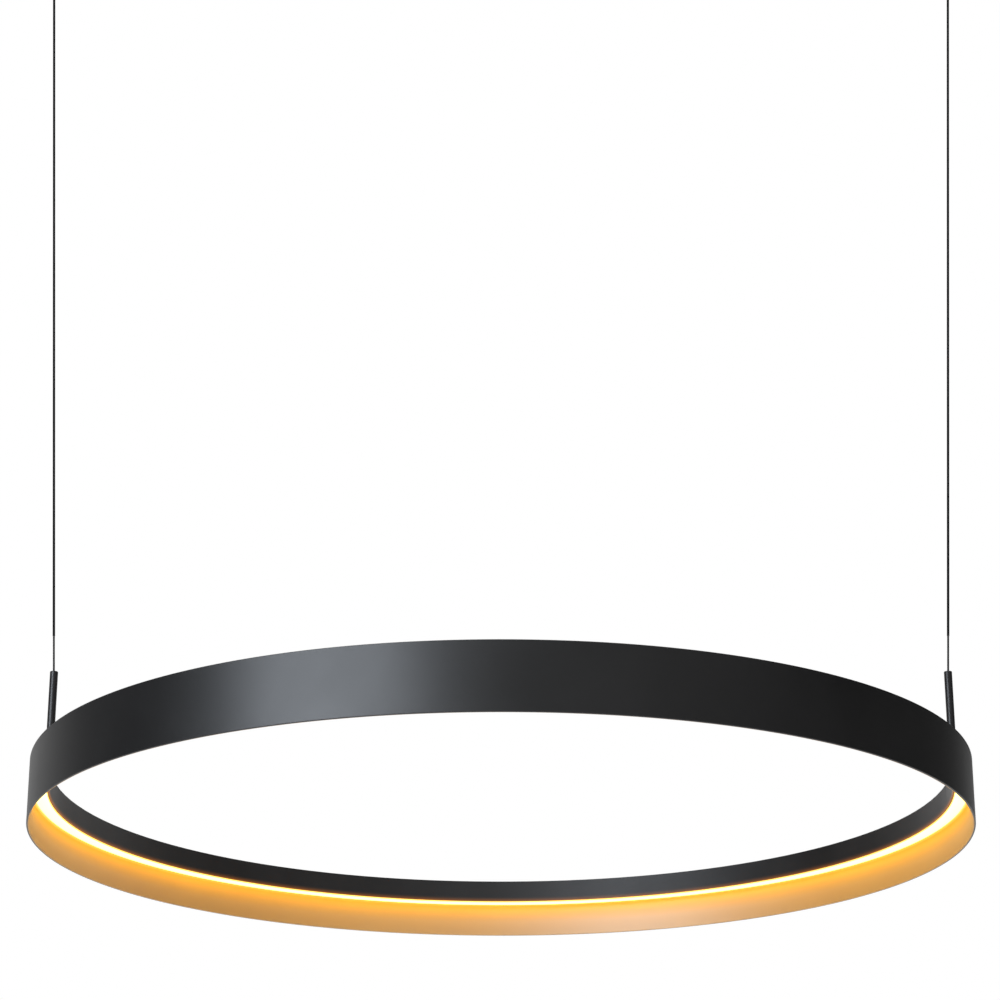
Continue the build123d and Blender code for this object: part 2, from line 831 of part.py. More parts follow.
def make_mains_grommet():
    """Sleeve in the bracket's cable entry, flush with the ceiling face."""
    bore = entry_bore / 2
    wall = bore + entry_wall
    flange_under = -bracket_thickness - entry_flange_height
    grommet = turned([
        (bore, 0),
        (wall, 0),
        (wall, -bracket_thickness),
        (wall + entry_flange, -bracket_thickness),
        (wall + entry_flange, flange_under),
        (bore, flange_under),
    ])
    return Pos(entry_x(), 0, 0) * grommet


def make_earth_screw():
    """Earth screw under the bracket's plate."""
    screw = pan_screw(earth_screw_diameter, earth_screw_head, earth_screw_head_height,
                      bracket_thickness, bracket_thickness - slip)
    return Pos(-earth_screw_position, 0, 0) * Rot(180, 0, 0) * screw


def make_grip_neck():
    """Threaded tube that passes the shelf and screws into the grip's body."""
    return sleeve(neck_diameter / 2, neck_bore / 2, neck_foot, neck_top)


def make_grip_nut():
    """Lock nut on the neck, above the shelf."""
    low = -bracket_flange
    return hex_prism(grip_nut_across_flats, low, low + grip_nut_height) - post(
        neck_diameter + 2 * slip, low - cut_margin, low + grip_nut_height + cut_margin)


def cone_radius(level):
    """Radius of the grip's cone at a height: a running fit on the plunger at its narrow lower end."""
    narrow = plunger_diameter / 2 + screw_gap
    low = grip_foot + plunger_proud
    return narrow + (level - low) * grip_cone_rise / grip_cone_height


def make_grip_body():
    """Grip body: socket for the neck, spring chamber, cone for the balls and bore for the plunger."""
    outer = grip_diameter / 2
    socket = neck_diameter / 2 + slip
    cone_low = grip_foot + plunger_proud
    cone_high = cone_low + grip_cone_height
    return turned([
        (cone_radius(cone_low), grip_foot),
        (outer - grip_chamfer, grip_foot),
        (outer, grip_foot + grip_chamfer),
        (outer, shelf_under),
        (socket, shelf_under),
        (socket, neck_foot),
        (cone_radius(cone_high), neck_foot),
        (cone_radius(cone_high), cone_high),
        (cone_radius(cone_low), cone_low),
    ])


def grip_ball_level():
    """Height of the grip balls' centres in the plunger."""
    return plunger_top - grip_ball_depth


def grip_ball_circle():
    """Radius of the circle of ball centres: the balls lie against the wire."""
    return wire_diameter / 2 + grip_ball_diameter / 2 + screw_gap


def make_grip_plunger():
    """Sprung plunger with a push head at its foot and a window for each ball near its top."""
    bore = plunger_bore / 2
    outer = plunger_diameter / 2
    head = plunger_head / 2
    body = turned([
        (bore, mouth_level),
        (head - plunger_chamfer, mouth_level),
        (head, mouth_level + plunger_chamfer),
        (head, mouth_level + plunger_head_height),
        (outer, mouth_level + plunger_head_height),
        (outer, plunger_top),
        (bore, plunger_top),
    ])
    window = radial(post(grip_ball_diameter + 2 * screw_gap, 0, plunger_diameter), 0, grip_ball_level())
    return body - around(grip_ball_count, 0, window)


def make_grip_balls():
    """Balls that wedge between the wire and the cone."""
    ball = Pos(grip_ball_circle(), 0, grip_ball_level()) * Sphere(grip_ball_diameter / 2)
    return around(grip_ball_count, 0, ball)


def make_grip_spring():
    """Return spring between the plunger and the neck, one unbroken tube."""
    low = plunger_top + spring_wire / 2 + screw_gap
    high = neck_foot - spring_wire / 2 - screw_gap
    coil = spring_diameter / 2 - spring_wire / 2
    edges = helix_edges(coil, low, high, spring_turns)
    heading = edges[0] % 0
    section = Plane(origin=edges[0] @ 0, z_dir=heading) * Circle(spring_wire / 2)
    print("grip spring: gap between turns %.2f mm" % ((high - low) / spring_turns - spring_wire))
    return sweep(section, path=Wire(edges))


def tail_route():
    """The wire's end at +X: up through the grip, over to one side of the bar and along to the driver."""
    return [
        (grip_x, 0, mouth_level + wire_diameter / 2 + pivot_gap),
        (grip_x, 0, -tail_depth),
        (grip_x - tail_turn, 0, -tail_depth),
        (grip_x - 2 * tail_turn, -tail_offset, -tail_depth),
        (driver_length / 2, -tail_offset, -tail_depth),
    ]


def make_wire_tail():
    return cable(tail_route(), tail_bend, wire_diameter)


def make_lead_clips():
    """Saddles under the bracket's plate that hold the wires' ends."""
    clips = []
    height = tail_depth - bracket_thickness + wire_diameter
    for x in clip_positions:
        clip = Pos(x, -tail_offset, -bracket_thickness) * Box(
            clip_length, clip_width, height, align=(Align.CENTER, Align.CENTER, Align.MAX))
        clip -= Pos(x, -tail_offset, -tail_depth) * Rot(0, 90, 0) * Cylinder(
            wire_diameter / 2 + screw_gap, clip_length + 2 * cut_margin)
        clips += around(2, 0, clip)
    return clips


def right_and_left(name, solid):
    """A piece at +X and its copy turned half a circle to -X."""
    return {name + "_right": solid, name + "_left": Rot(0, 0, 180) * solid}


def at_grips(name, solid):
    """A grip piece made about Z, set at each grip."""
    return right_and_left(name, Pos(grip_x, 0, 0) * solid)


def make_all():
    """Every node by name: one solid, or a list of solids for a group."""
    pieces = {
        "outer_band": make_outer_band(),
        "light_channel": make_light_channel(),
        "top_cover": make_top_cover(),
        "cover_standoffs": make_cover_standoffs(),
        "cover_screws": make_cover_screws(),
        "band_studs": make_band_studs(),
        "band_nuts": make_band_nuts(),
        "led_strip": make_led_strip(),
        "led_chips": make_led_chips(),
        "diffuser": make_diffuser(),
        "block_screws": make_block_screws(),
        "rod_grub_screws": make_rod_grub_screws(),
        "lead_grommets": make_lead_grommets(),
        "ceiling_bracket": make_ceiling_bracket(),
        "canopy_cover": make_canopy_cover(),
        "canopy_screws": make_canopy_screws(),
        "driver_case": make_driver_case(),
        "driver_lid": make_driver_lid(),
        "driver_screws": make_driver_screws(),
        "terminal_block": make_terminal_block(),
        "terminal_screws": make_terminal_screws(),
        "mains_grommet": make_mains_grommet(),
        "earth_screw": make_earth_screw(),
        "lead_clips": make_lead_clips(),
    }
    pieces.update(right_and_left("suspension_block", make_suspension_block()))
    pieces.update(right_and_left("suspension_rod", make_suspension_rod()))
    pieces.update(right_and_left("feed_lead", make_feed_lead()))
    pieces.update(right_and_left("suspension_wire", make_suspension_wire()))
    pieces.update(right_and_left("wire_ball", make_wire_ball()))
    pieces.update(right_and_left("end_cap", make_end_cap()))
    pieces.update(right_and_left("wire_tail", make_wire_tail()))
    pieces.update(at_grips("grip_neck", make_grip_neck()))
    pieces.update(at_grips("grip_nut", make_grip_nut()))
    pieces.update(at_grips("grip_body", make_grip_body()))
    pieces.update(at_grips("grip_plunger", make_grip_plunger()))
    pieces.update(at_grips("grip_balls", Compound(children=make_grip_balls())))
    pieces.update(at_grips("grip_spring", make_grip_spring()))
    return pieces


os.makedirs("parts", exist_ok=True)
for node, piece in make_all().items():
    if isinstance(piece, list):
        piece = Compound(children=piece)
    export_step(piece, "parts/" + node + ".step")
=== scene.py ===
import math

import bpy
import numpy as np
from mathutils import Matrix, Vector


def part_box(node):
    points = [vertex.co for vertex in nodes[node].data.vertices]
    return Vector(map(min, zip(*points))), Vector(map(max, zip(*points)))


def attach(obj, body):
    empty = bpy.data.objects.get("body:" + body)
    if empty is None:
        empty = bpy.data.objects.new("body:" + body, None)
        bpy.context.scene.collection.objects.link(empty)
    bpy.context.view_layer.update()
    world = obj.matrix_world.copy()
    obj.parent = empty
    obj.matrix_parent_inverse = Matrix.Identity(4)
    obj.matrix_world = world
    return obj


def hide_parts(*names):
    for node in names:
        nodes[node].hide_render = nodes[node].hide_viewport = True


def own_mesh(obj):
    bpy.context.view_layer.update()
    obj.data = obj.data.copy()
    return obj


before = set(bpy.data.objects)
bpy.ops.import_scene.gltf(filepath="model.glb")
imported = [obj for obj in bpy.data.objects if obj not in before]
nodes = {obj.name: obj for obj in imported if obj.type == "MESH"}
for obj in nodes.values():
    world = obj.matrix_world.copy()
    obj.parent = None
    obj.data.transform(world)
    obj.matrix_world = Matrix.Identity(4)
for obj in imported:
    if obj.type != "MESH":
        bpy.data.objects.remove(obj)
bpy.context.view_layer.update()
sides = {"Left": -1, "Right": 1}  # the end of a piece's name and the sign of its x
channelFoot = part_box("light_channel")[0].z  # level of the light channel's lower edge
print("frame loaded:", len(nodes), "nodes")


# Surfaces from grids of points

def putSurface(name, points, body, replaced, closedAlong=True):
    # Point (i, j) of the grid is joined to (i+1, j), (i+1, j+1) and (i, j+1). Columns always close on
    # themselves. Rows close too, or end in a flat cap at each end.
    rows, columns = points.shape[:2]
    steps = rows if closedAlong else rows - 1
    row, column = np.meshgrid(np.arange(steps), np.arange(columns), indexing="ij")
    rowShift = np.array([0, 1, 1, 0])
    columnShift = np.array([0, 0, 1, 1])
    quadRow = row.reshape(-1, 1) + rowShift
    quadColumn = column.reshape(-1, 1) + columnShift
    loops = ((quadRow % rows) * columns + quadColumn % columns).ravel()
    uv = np.stack([quadRow / rows, quadColumn / columns], -1).reshape(-1, 2)
    starts = np.arange(0, loops.size, 4)
    if not closedAlong:
        firstRing = np.arange(columns)
        lastRing = (rows * columns - 1) - np.arange(columns)
        starts = np.concatenate([starts, [loops.size, loops.size + columns]])
        loops = np.concatenate([loops, firstRing, lastRing])
        uv = np.concatenate([uv, np.zeros((2 * columns, 2))])
    mesh = bpy.data.meshes.new(name)
    mesh.vertices.add(rows * columns)
    mesh.vertices.foreach_set("co", points.astype(np.float32).ravel())
    mesh.loops.add(loops.size)
    mesh.loops.foreach_set("vertex_index", loops.astype(np.int32))
    mesh.polygons.add(starts.size)
    mesh.polygons.foreach_set("loop_start", starts.astype(np.int32))
    smooth = np.ones(starts.size, dtype=bool)
    smooth[steps * columns:] = False  # the caps stay flat
    mesh.polygons.foreach_set("use_smooth", smooth)
    mesh.update(calc_edges=True)
    layer = mesh.uv_layers.new(name="surface")
    layer.data.foreach_set("uv", uv.astype(np.float32).ravel())
    piece = bpy.data.objects.new(name, mesh)
    bpy.context.scene.collection.objects.link(piece)
    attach(piece, body)
    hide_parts(*replaced)
    return piece


def roundedOutline(corners, radius, steps=5, guard=0.00012):
    # Every corner becomes an arc: its centre lies on the corner's bisector, radius / sin(half the corner's
    # angle) away, and its points turn evenly from one touching direction to the other. A guard point on
    # each side of the arc keeps the flats flat when they are shaded smooth.
    corner = np.array(corners, float)
    radius = np.broadcast_to(np.asarray(radius, float), len(corner))[:, None]
    back = np.roll(corner, 1, axis=0) - corner
    ahead = np.roll(corner, -1, axis=0) - corner
    back /= np.linalg.norm(back, axis=1, keepdims=True)
    ahead /= np.linalg.norm(ahead, axis=1, keepdims=True)
    half = np.arccos(np.sum(back * ahead, axis=1, keepdims=True)) / 2
    run = radius / np.tan(half)
    bisector = (back + ahead) / np.linalg.norm(back + ahead, axis=1, keepdims=True)
    centre = corner + bisector * radius / np.sin(half)
    first = (corner + back * run - centre)[:, None]
    last = (corner + ahead * run - centre)[:, None]
    sweep = (math.pi - 2 * half)[:, None]
    share = np.linspace(0, 1, steps + 1)[None, :, None]
    spoke = (np.sin((1 - share) * sweep) * first + np.sin(share * sweep) * last) / np.sin(sweep)
    arc = centre[:, None] + spoke
    before = (corner + back * (run + guard))[:, None]
    after = (corner + ahead * (run + guard))[:, None]
    return np.concatenate([before, arc, after], axis=1).reshape(-1, 2)


def revolved(outline, segments, centreX=0.0):
    # A point (radius, height) turned by an angle lies at (centreX + radius cos, radius sin, height).
    angle = np.linspace(0, 2 * math.pi, segments, endpoint=False)
    radius, height = outline[:, 0], outline[:, 1]
    return np.stack([
        centreX + np.outer(np.cos(angle), radius),
        np.outer(np.sin(angle), radius),
        np.broadcast_to(height, (segments, len(height))),
    ], axis=-1)


def tubeAlong(path, side, radius):
    # Ring i is centred on path point i. Its point j is path + radius (side cos - other sin), where the
    # angle goes once round and other = direction of travel x side.
    heading = np.gradient(path, axis=0)
    heading /= np.linalg.norm(heading, axis=1, keepdims=True)
    side = side - np.sum(side * heading, axis=1, keepdims=True) * heading
    side /= np.linalg.norm(side, axis=1, keepdims=True)
    other = np.cross(heading, side)
    columns = radius.shape[1]
    angle = np.linspace(0, 2 * math.pi, columns, endpoint=False)[None, :, None]
    ring = side[:, None] * np.cos(angle) - other[:, None] * np.sin(angle)
    return path[:, None] + ring * radius[..., None]


def routeLine(points, order, resolution):
    # A NURBS spline with the route's points as its control points, read back as the points of its line.
    curve = bpy.data.curves.new("route", "CURVE")
    curve.dimensions = "3D"
    curve.resolution_u = resolution
    spline = curve.splines.new("NURBS")
    spline.points.add(len(points) - 1)
    spline.points.foreach_set("co", np.column_stack([points, np.ones(len(points))]).ravel())
    spline.order_u = order
    spline.use_endpoint_u = True
    holder = bpy.data.objects.new("route", curve)
    mesh = bpy.data.meshes.new_from_object(holder)
    line = np.empty(3 * len(mesh.vertices), np.float32)
    mesh.vertices.foreach_get("co", line)
    bpy.data.objects.remove(holder)
    bpy.data.meshes.remove(mesh)
    bpy.data.curves.remove(curve)
    return line.reshape(-1, 3).astype(float)


def faceVectors(mesh, kind):
    # The centre or the normal of every face, one row each.
    vectors = np.empty(3 * len(mesh.polygons), np.float32)
    mesh.polygons.foreach_get(kind, vectors)
    return vectors.reshape(-1, 3)


def paintFaces(mesh, chosen):
    # The chosen faces get the mesh's second material, and the others its first.
    mesh.polygons.foreach_set("material_index", chosen.astype(np.int32))


# Materials

noise = {
    "rampEnds": (0.3, 0.7),   # noise between these two goes from a finish's first colour to its second
    "cloudDetail": 4.0,
    "grainDetail": 3.0,
    "glossEnds": (0.6, 1.4),  # sum of the two noises where a surface is smoothest and where it is roughest
}


def addNode(tree, kind, settings=(), values=(), links=()):
    node = tree.nodes.new("ShaderNode" + kind)
    for key, value in dict(settings).items():
        setattr(node, key, value)
    for key, value in dict(values).items():
        node.inputs[key].default_value = value
    for key, socket in dict(links).items():
        tree.links.new(socket, node.inputs[key])
    return node


def objectPlace(tree):
    return addNode(tree, "TexCoord").outputs["Object"]


def pointHeight(tree):
    return addNode(tree, "SeparateXYZ", links={"Vector": objectPlace(tree)}).outputs["Z"]


def vectorLength(tree, vector):
    return addNode(tree, "VectorMath", {"operation": "LENGTH"}, links={0: vector}).outputs["Value"]


def addNoise(tree, scale, detail, place):
    values = {"Scale": scale, "Detail": detail}
    return addNode(tree, "TexNoise", values=values, links={"Vector": place}).outputs["Fac"]


def combined(tree, operation, first, second):
    return addNode(tree, "Math", {"operation": operation}, links={0: first, 1: second}).outputs["Value"]


def mapRange(tree, value, source, target, kind="LINEAR"):
    # The value's range source becomes the range target, and is held at both ends.
    return addNode(tree, "MapRange", {"interpolation_type": kind}, {
        "From Min": source[0], "From Max": source[1], "To Min": target[0], "To Max": target[1],
    }, {"Value": value}).outputs["Result"]


def startMaterial(name, values):
    material = bpy.data.materials.new(name)
    material.use_nodes = True
    tree = material.node_tree
    shader = tree.nodes["Principled BSDF"]
    for key, value in values.items():
        shader.inputs[key].default_value = value
    return material, tree, shader


def opaque(colour):
    return (*colour, 1.0)


def rampBetween(tree, factor, start, end):
    ramp = addNode(tree, "ValToRGB", links={"Fac": factor})
    for stop, position, colour in zip(ramp.color_ramp.elements, noise["rampEnds"], (start, end)):
        stop.position = position
        stop.color = opaque(colour)
    return ramp.outputs["Color"]


def addBump(tree, shader, height, look):
    bump = addNode(tree, "Bump", values={"Strength": look["grainStrength"], "Distance": look["grainDepth"]},
                   links={"Height": height})
    tree.links.new(bump.outputs["Normal"], shader.inputs["Normal"])


def surfaceFinish(name, look):
    # A finish with a slow drift of colour and gloss and a fine grain. cloudScale and grainScale are per
    # metre, stretch squeezes the grain along an axis to make turned or brushed lines, and grainDepth is in
    # metres.
    material, tree, shader = startMaterial(name, look["shader"])
    place = objectPlace(tree)
    cloud = addNoise(tree, look["cloudScale"], noise["cloudDetail"], place)
    stretched = addNode(tree, "Mapping", values={"Scale": look.get("stretch", (1, 1, 1))},
                        links={"Vector": place}).outputs["Vector"]
    grain = addNoise(tree, look["grainScale"], noise["grainDetail"], stretched)
    tree.links.new(rampBetween(tree, cloud, *look["colours"]), shader.inputs["Base Color"])
    gloss = mapRange(tree, combined(tree, "ADD", cloud, grain), noise["glossEnds"], look["roughness"])
    tree.links.new(gloss, shader.inputs["Roughness"])
    addBump(tree, shader, grain, look)
    return material


satinBlack = surfaceFinish("satinBlackCoat", {
    "shader": {"Specular IOR Level": 0.8},
    "colours": ((0.0052, 0.0050, 0.0054), (0.0074, 0.0071, 0.0076)),
    "roughness": (0.37, 0.45),
    "cloudScale": 14.0,
    "grainScale": 1100.0,
    "grainStrength": 0.25,
    "grainDepth": 0.00004,
})
# Its emission colour is the orange of a painted glow along the foot of the channel's inner wall, laid on
# further down.
innerBlack = surfaceFinish("channelBlackCoat", {
    "shader": {"Specular IOR Level": 0.7, "Emission Color": (1.0, 0.3, 0.02, 1.0)},
    "colours": ((0.0065, 0.0062, 0.0065), (0.0095, 0.0090, 0.0095)),
    "roughness": (0.42, 0.55),
    "cloudScale": 18.0,
    "grainScale": 1100.0,
    "grainStrength": 0.25,
    "grainDepth": 0.00004,
})
# Its emission colour is the amber of a painted glow on the gold just below the channel, laid on further
# down.
goldLacquer = surfaceFinish("goldLacquer", {
    "shader": {"Specular IOR Level": 0.0, "Coat Roughness": 0.52, "Coat IOR": 4.0,
               "Emission Color": (1.0, 0.72, 0.18, 1.0)},
    "colours": ((0.70, 0.32, 0.016), (0.74, 0.35, 0.022)),
    "roughness": (0.34, 0.42),
    "cloudScale": 10.0,
    "grainScale": 2600.0,
    "grainStrength": 0.3,
    "grainDepth": 0.00004,
})
# Gold paint for the foot of the channel's outer wall; its even emission is a painted glow over that foot.
gildedFootPaintedGlow = surfaceFinish("gildedFootPaintedGlow", {
    "shader": {"Specular IOR Level": 1.0, "Emission Color": (1.0, 0.72, 0.2, 1.0),
               "Emission Strength": 0.95},
    "colours": ((0.70, 0.30, 0.026), (0.74, 0.33, 0.034)),
    "roughness": (0.42, 0.52),
    "cloudScale": 10.0,
    "grainScale": 2600.0,
    "grainStrength": 0.3,
    "grainDepth": 0.00004,
})
anodisedBlack = surfaceFinish("anodisedBlack", {
    "shader": {"Specular IOR Level": 0.6},
    "colours": ((0.013, 0.012, 0.013), (0.018, 0.017, 0.018)),
    "roughness": (0.3, 0.42),
    "cloudScale": 60.0,
    "grainScale": 400.0,
    "stretch": (0.3, 0.3, 12.0),  # fine rings left by turning
    "grainStrength": 0.35,
    "grainDepth": 0.00003,
})
zincSteel = surfaceFinish("zincSteel", {
    "shader": {"Metallic": 1.0},
    "colours": ((0.50, 0.51, 0.52), (0.62, 0.62, 0.61)),
    "roughness": (0.28, 0.44),
    "cloudScale": 45.0,
    "grainScale": 500.0,
    "grainStrength": 0.25,
    "grainDepth": 0.00004,
})
rolledSteel = surfaceFinish("rolledZincSheet", {
    "shader": {"Metallic": 1.0},
    "colours": ((0.52, 0.53, 0.54), (0.66, 0.66, 0.65)),
    "roughness": (0.3, 0.48),
    "cloudScale": 22.0,
    "grainScale": 500.0,
    "stretch": (0.08, 1.0, 1.0),  # rolling lines along the bar
    "grainStrength": 0.25,
    "grainDepth": 0.00005,
})
turnedBrass = surfaceFinish("turnedBrass", {
    "shader": {"Metallic": 1.0},
    "colours": ((0.66, 0.47, 0.18), (0.74, 0.55, 0.24)),
    "roughness": (0.2, 0.34),
    "cloudScale": 80.0,
    "grainScale": 500.0,
    "stretch": (0.3, 0.3, 10.0),
    "grainStrength": 0.3,
    "grainDepth": 0.00003,
})
mouldedBlack = surfaceFinish("mouldedInsulator", {
    "shader": {"Specular IOR Level": 0.5},
    "colours": ((0.035, 0.035, 0.035), (0.05, 0.05, 0.05)),
    "roughness": (0.5, 0.65),
    "cloudScale": 40.0,
    "grainScale": 2200.0,
    "grainStrength": 0.35,
    "grainDepth": 0.00005,
})
mouldedWhite = surfaceFinish("mouldedWhiteCase", {
    "shader": {"Specular IOR Level": 0.5},
    "colours": ((0.74, 0.74, 0.72), (0.8, 0.8, 0.78)),
    "roughness": (0.45, 0.6),
    "cloudScale": 30.0,
    "grainScale": 1800.0,
    "grainStrength": 0.35,
    "grainDepth": 0.00006,
})
softRubber = surfaceFinish("softRubber", {
    "shader": {"Specular IOR Level": 0.4},
    "colours": ((0.018, 0.018, 0.018), (0.028, 0.028, 0.028)),
    "roughness": (0.65, 0.8),
    "cloudScale": 60.0,
    "grainScale": 2500.0,
    "grainStrength": 0.4,
    "grainDepth": 0.00005,
})
blackSheath = surfaceFinish("blackSheath", {
    "shader": {"Specular IOR Level": 0.08},
    "colours": ((0.009, 0.009, 0.0095), (0.012, 0.012, 0.0125)),
    "roughness": (0.62, 0.7),
    "cloudScale": 40.0,
    "grainScale": 1500.0,
    "grainStrength": 0.02,
    "grainDepth": 0.00003,
})
darkStrand = surfaceFinish("darkSteelStrand", {
    "shader": {"Metallic": 0.5, "Specular IOR Level": 0.2},
    "colours": ((0.035, 0.035, 0.035), (0.06, 0.058, 0.056)),
    "roughness": (0.45, 0.6),
    "cloudScale": 120.0,
    "grainScale": 2500.0,
    "grainStrength": 0.3,
    "grainDepth": 0.00003,
})
whiteMask = surfaceFinish("whiteSolderMask", {
    "shader": {"Specular IOR Level": 0.5},
    "colours": ((0.78, 0.78, 0.74), (0.84, 0.84, 0.8)),
    "roughness": (0.35, 0.5),
    "cloudScale": 120.0,
    "grainScale": 2000.0,
    "grainStrength": 0.25,
    "grainDepth": 0.00003,
})
phosphorGel = surfaceFinish("phosphorGel", {
    "shader": {"Emission Color": (1.0, 0.74, 0.32, 1.0), "Emission Strength": 1.5},
    "colours": ((0.80, 0.56, 0.10), (0.88, 0.66, 0.16)),
    "roughness": (0.2, 0.35),
    "cloudScale": 300.0,
    "grainScale": 4000.0,
    "grainStrength": 0.2,
    "grainDepth": 0.00003,
})


def opalFinish(look, inner, outer):
    # Milky plastic that glows: even over the row of light sources, dimmer and more amber at both edges.
    material, tree, shader = startMaterial("opalGlow", look["shader"])
    place = objectPlace(tree)
    flattened = addNode(tree, "VectorMath", {"operation": "MULTIPLY"}, {1: (1.0, 1.0, 0.0)}, {0: place})
    axisDistance = vectorLength(tree, flattened.outputs["Vector"])
    across = mapRange(tree, axisDistance, (inner, outer), (0.0, 1.0))
    glow = addNode(tree, "ValToRGB", links={"Fac": across})
    stops = glow.color_ramp.elements
    stops.new(look["edgeShare"])
    stops.new(1 - look["edgeShare"])
    for stop, colour in zip(stops, ("edgeGlow", "midGlow", "midGlow", "edgeGlow")):
        stop.color = opaque(look[colour])
    tree.links.new(glow.outputs["Color"], shader.inputs["Emission Color"])
    grain = addNoise(tree, look["grainScale"], noise["grainDetail"], place)
    gloss = mapRange(tree, grain, (0.0, 1.0), look["roughness"])
    tree.links.new(gloss, shader.inputs["Roughness"])
    addBump(tree, shader, grain, look)
    return material


def addPaintedFootGlow(material, look):
    # Painted glow: emission standing in for light that creeps along a wall, strongest at the channel's foot
    # and gone at the given reach above or below it.
    tree = material.node_tree
    near = mapRange(tree, pointHeight(tree), (channelFoot, channelFoot + look["reach"]), (1.0, 0.0))
    fade = addNode(tree, "Math", {"operation": "POWER"}, {1: look["fall"]}, {0: near}).outputs["Value"]
    glow = addNode(tree, "Math", {"operation": "MULTIPLY"}, {1: look["strength"]}, {0: fade})
    tree.links.new(glow.outputs["Value"], tree.nodes["Principled BSDF"].inputs["Emission Strength"])


# Painted glow on the channel's inner wall just above its foot and on the gold just below it.
addPaintedFootGlow(innerBlack, {"reach": 0.005, "fall": 2.5, "strength": 0.24})
addPaintedFootGlow(goldLacquer, {"reach": -0.0032, "fall": 1.5, "strength": 0.8})
print("materials made:", len(bpy.data.materials))


# Ring

band = {
    "edge": 0.0005,       # rounding of the four long edges
    "wall": 0.002,
    "goldTop": -0.855,    # the gold ends at this level, behind the channel
    "goldRim": 0.0007,    # how far it goes out over the lower edge
    "coatThin": 0.05,     # weight of the gold's clear coat next to the channel
    "coatFull": 0.68,
    "coatReach": 0.018,   # the coat is full this far below the channel
    "segments": 720,
}


def thinCoat(material, look):
    # The clear coat's weight falls evenly from full at the reach below the channel's foot to thin at it.
    tree = material.node_tree
    weight = mapRange(tree, pointHeight(tree), (channelFoot - look["coatReach"], channelFoot),
                      (look["coatFull"], look["coatThin"]))
    tree.links.new(weight, tree.nodes["Principled BSDF"].inputs["Coat Weight"])


def makeBand():
    # A rectangle of the band's wall and height with rounded corners, carried once round the ring's axis.
    # It is black all over, except the inner face up to a level behind the channel and the inner part of the
    # lower edge, which are gold.
    low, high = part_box("outer_band")
    outside = high.x
    inside = outside - band["wall"]
    outline = roundedOutline([
        (inside, low.z),
        (outside, low.z),
        (outside, high.z),
        (inside, high.z),
    ], band["edge"])
    rim = inside + band["goldRim"]
    lowerFlat = np.argmax(outline[:, 0] > rim)  # the first point beyond the gold on the lower edge
    borders = [(rim, low.z), (inside, band["goldTop"])]
    outline = np.insert(outline, [lowerFlat, len(outline)], borders, axis=0)
    piece = putSurface("outerBand", revolved(outline, band["segments"]), "ring", ["outer_band"])
    piece.data.materials.append(satinBlack)
    piece.data.materials.append(goldLacquer)
    thinCoat(goldLacquer, band)
    centre = faceVectors(piece.data, "center")
    paintFaces(piece.data, (np.hypot(centre[:, 0], centre[:, 1]) < rim) & (centre[:, 2] < band["goldTop"]))


diffuser = {
    "width": 0.0114,
    "crown": 0.0007,
    "leg": 0.0012,
    "plate": 0.0021,      # from the legs' foot to the plate's upper face
    "crownSteps": 14,
    "segments": 720,
    "shader": {"Base Color": (0.55, 0.5, 0.4, 1.0), "Emission Strength": 3.7},
    "midGlow": (1.0, 0.74, 0.2),
    "edgeGlow": (0.5, 0.25, 0.01),
    "edgeShare": 0.03,    # part of the width over which an edge dims
    "roughness": (0.35, 0.5),
    "grainScale": 900.0,
    "grainStrength": 0.2,
    "grainDepth": 0.00003,
}


def makeDiffuser():
    # A shallow channel open at the top: two legs and a plate whose lower face is a parabola,
    # drop = crown * (1 - (2 t - 1)^2) across the width. The outline is carried once round the ring's axis.
    low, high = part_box("diffuser")
    outer = high.x
    inner = outer - diffuser["width"]
    foot = low.z + diffuser["crown"]
    share = np.linspace(0, 1, diffuser["crownSteps"] + 1)
    crown = np.column_stack([
        inner + diffuser["width"] * share,
        foot - diffuser["crown"] * (1 - (2 * share - 1) ** 2),
    ])
    leg = diffuser["leg"]
    plateTop = foot + diffuser["plate"]
    upper = np.array([
        (outer, high.z),
        (outer - leg, high.z),
        (outer - leg, plateTop),
        (inner + leg, plateTop),
        (inner + leg, high.z),
        (inner, high.z),
    ])
    outline = np.concatenate([crown, upper])
    piece = putSurface("diffuserLens", revolved(outline, diffuser["segments"]), "ring", ["diffuser"])
    piece.data.materials.append(opalFinish(diffuser, inner, outer))


makeBand()
makeDiffuser()
print("ring shells made")


# Rods, wires and springs

rod = {
    "radius": 0.0035,
    "rounding": 0.0004,   # tip's outer edge
    "lip": 0.0002,        # edges of the foot and of the flared mouth
    "bore": 0.0023,
    "throat": 0.0016,
    "throatEdge": 0.0001,
    "mouth": 0.00258,
    "seat": 0.00225,      # radius of the round seat for the ball
    "seatDrop": 0.004,    # from the tip to the ball's centre
    "guard": 0.00003,     # distance of the guard points from an edge's arc
    "segments": 96,
}


def makeRod(side):
    # The section of a hollow turned rod with a throat under a flared mouth, carried round the rod's axis.
    node = "suspension_rod_" + side.lower()
    low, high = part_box(node)
    axisX = (low.x + high.x) / 2
    throatLevel = high.z - rod["seatDrop"] + math.sqrt(rod["seat"] ** 2 - rod["throat"] ** 2)
    corners = [
        (rod["radius"], low.z),
        (rod["radius"], high.z),
        (rod["mouth"], high.z),
        (rod["throat"], throatLevel),
        (rod["bore"], high.z - rod["seatDrop"]),
        (rod["bore"], low.z),
    ]
    edges = [rod[edge] for edge in ("lip", "rounding", "lip", "throatEdge", "throatEdge", "lip")]
    outline = roundedOutline(corners, edges, guard=rod["guard"])
    piece = putSurface("suspensionRod" + side, revolved(outline, rod["segments"], axisX), "ring", [node])
    piece.data.materials.append(anodisedBlack)


